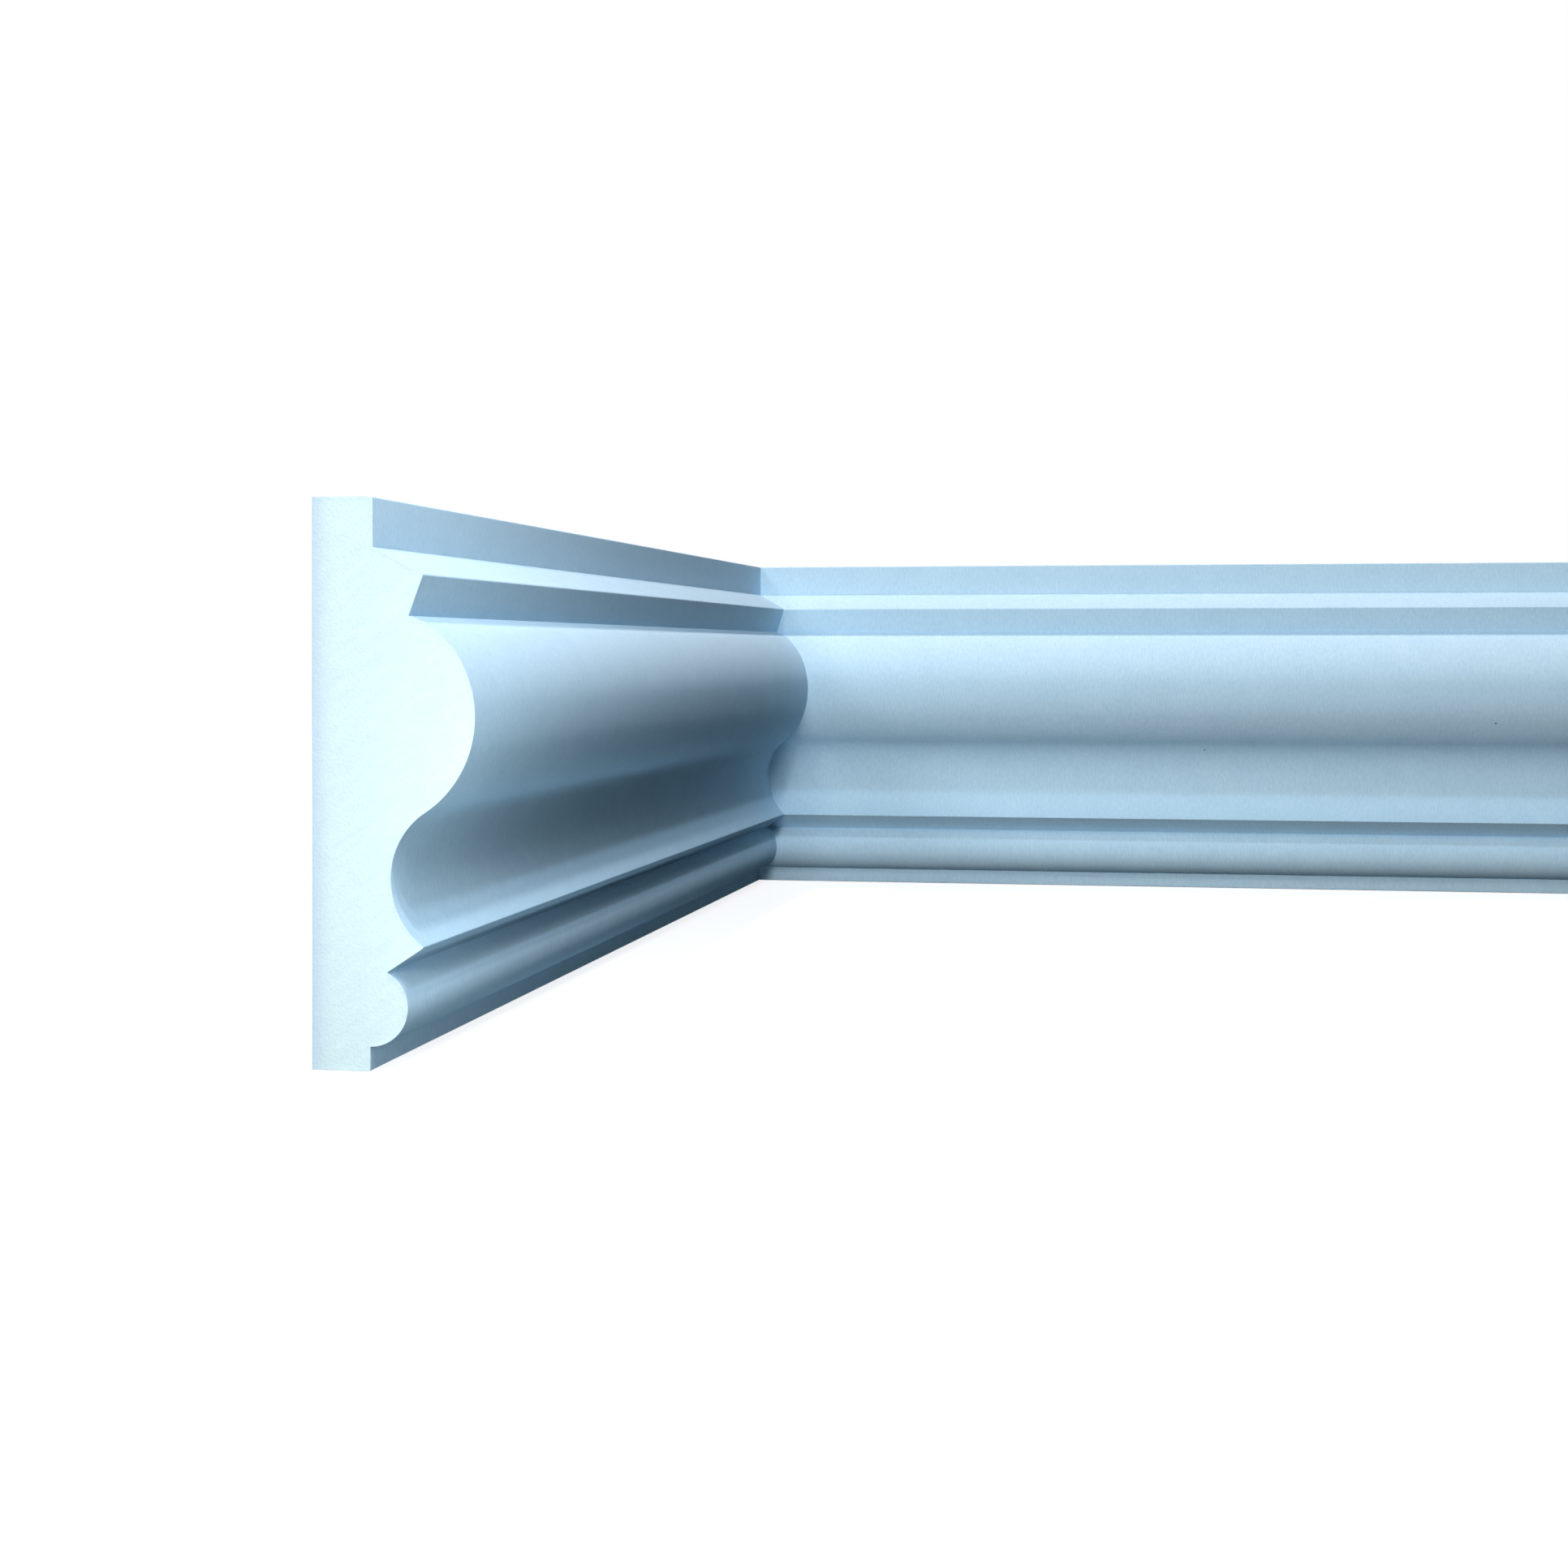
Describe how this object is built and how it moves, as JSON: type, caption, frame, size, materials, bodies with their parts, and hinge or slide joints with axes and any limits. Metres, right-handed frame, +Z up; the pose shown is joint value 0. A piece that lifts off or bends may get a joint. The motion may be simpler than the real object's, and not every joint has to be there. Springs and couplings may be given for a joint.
{
  "type": "polystyrene wall moulding",
  "caption": "Internal corner of a foam polystyrene wall moulding: mitred lengths with a flat cap, sharp nose, deep ogee, lip and half-round bead, cut square at the ends.",
  "frame": {"origin": "the foot of the wall corner, where the back faces of both lengths meet on the bottom edge", "axes": "+X along the long run, -Y along the short return towards the room, +Z up the wall; the long run's back is on Y = 0 and the short return's back on X = 0"},
  "size_m": [2, 0.37, 0.1],
  "materials": {
    "foam_polystyrene": "matte, faintly grained extruded skin, with fine closed cells on the sawn ends"
  },
  "bodies": {
    "root": {"long_run": "foam_polystyrene", "short_return": "foam_polystyrene"}
  },
  "joints": []
}
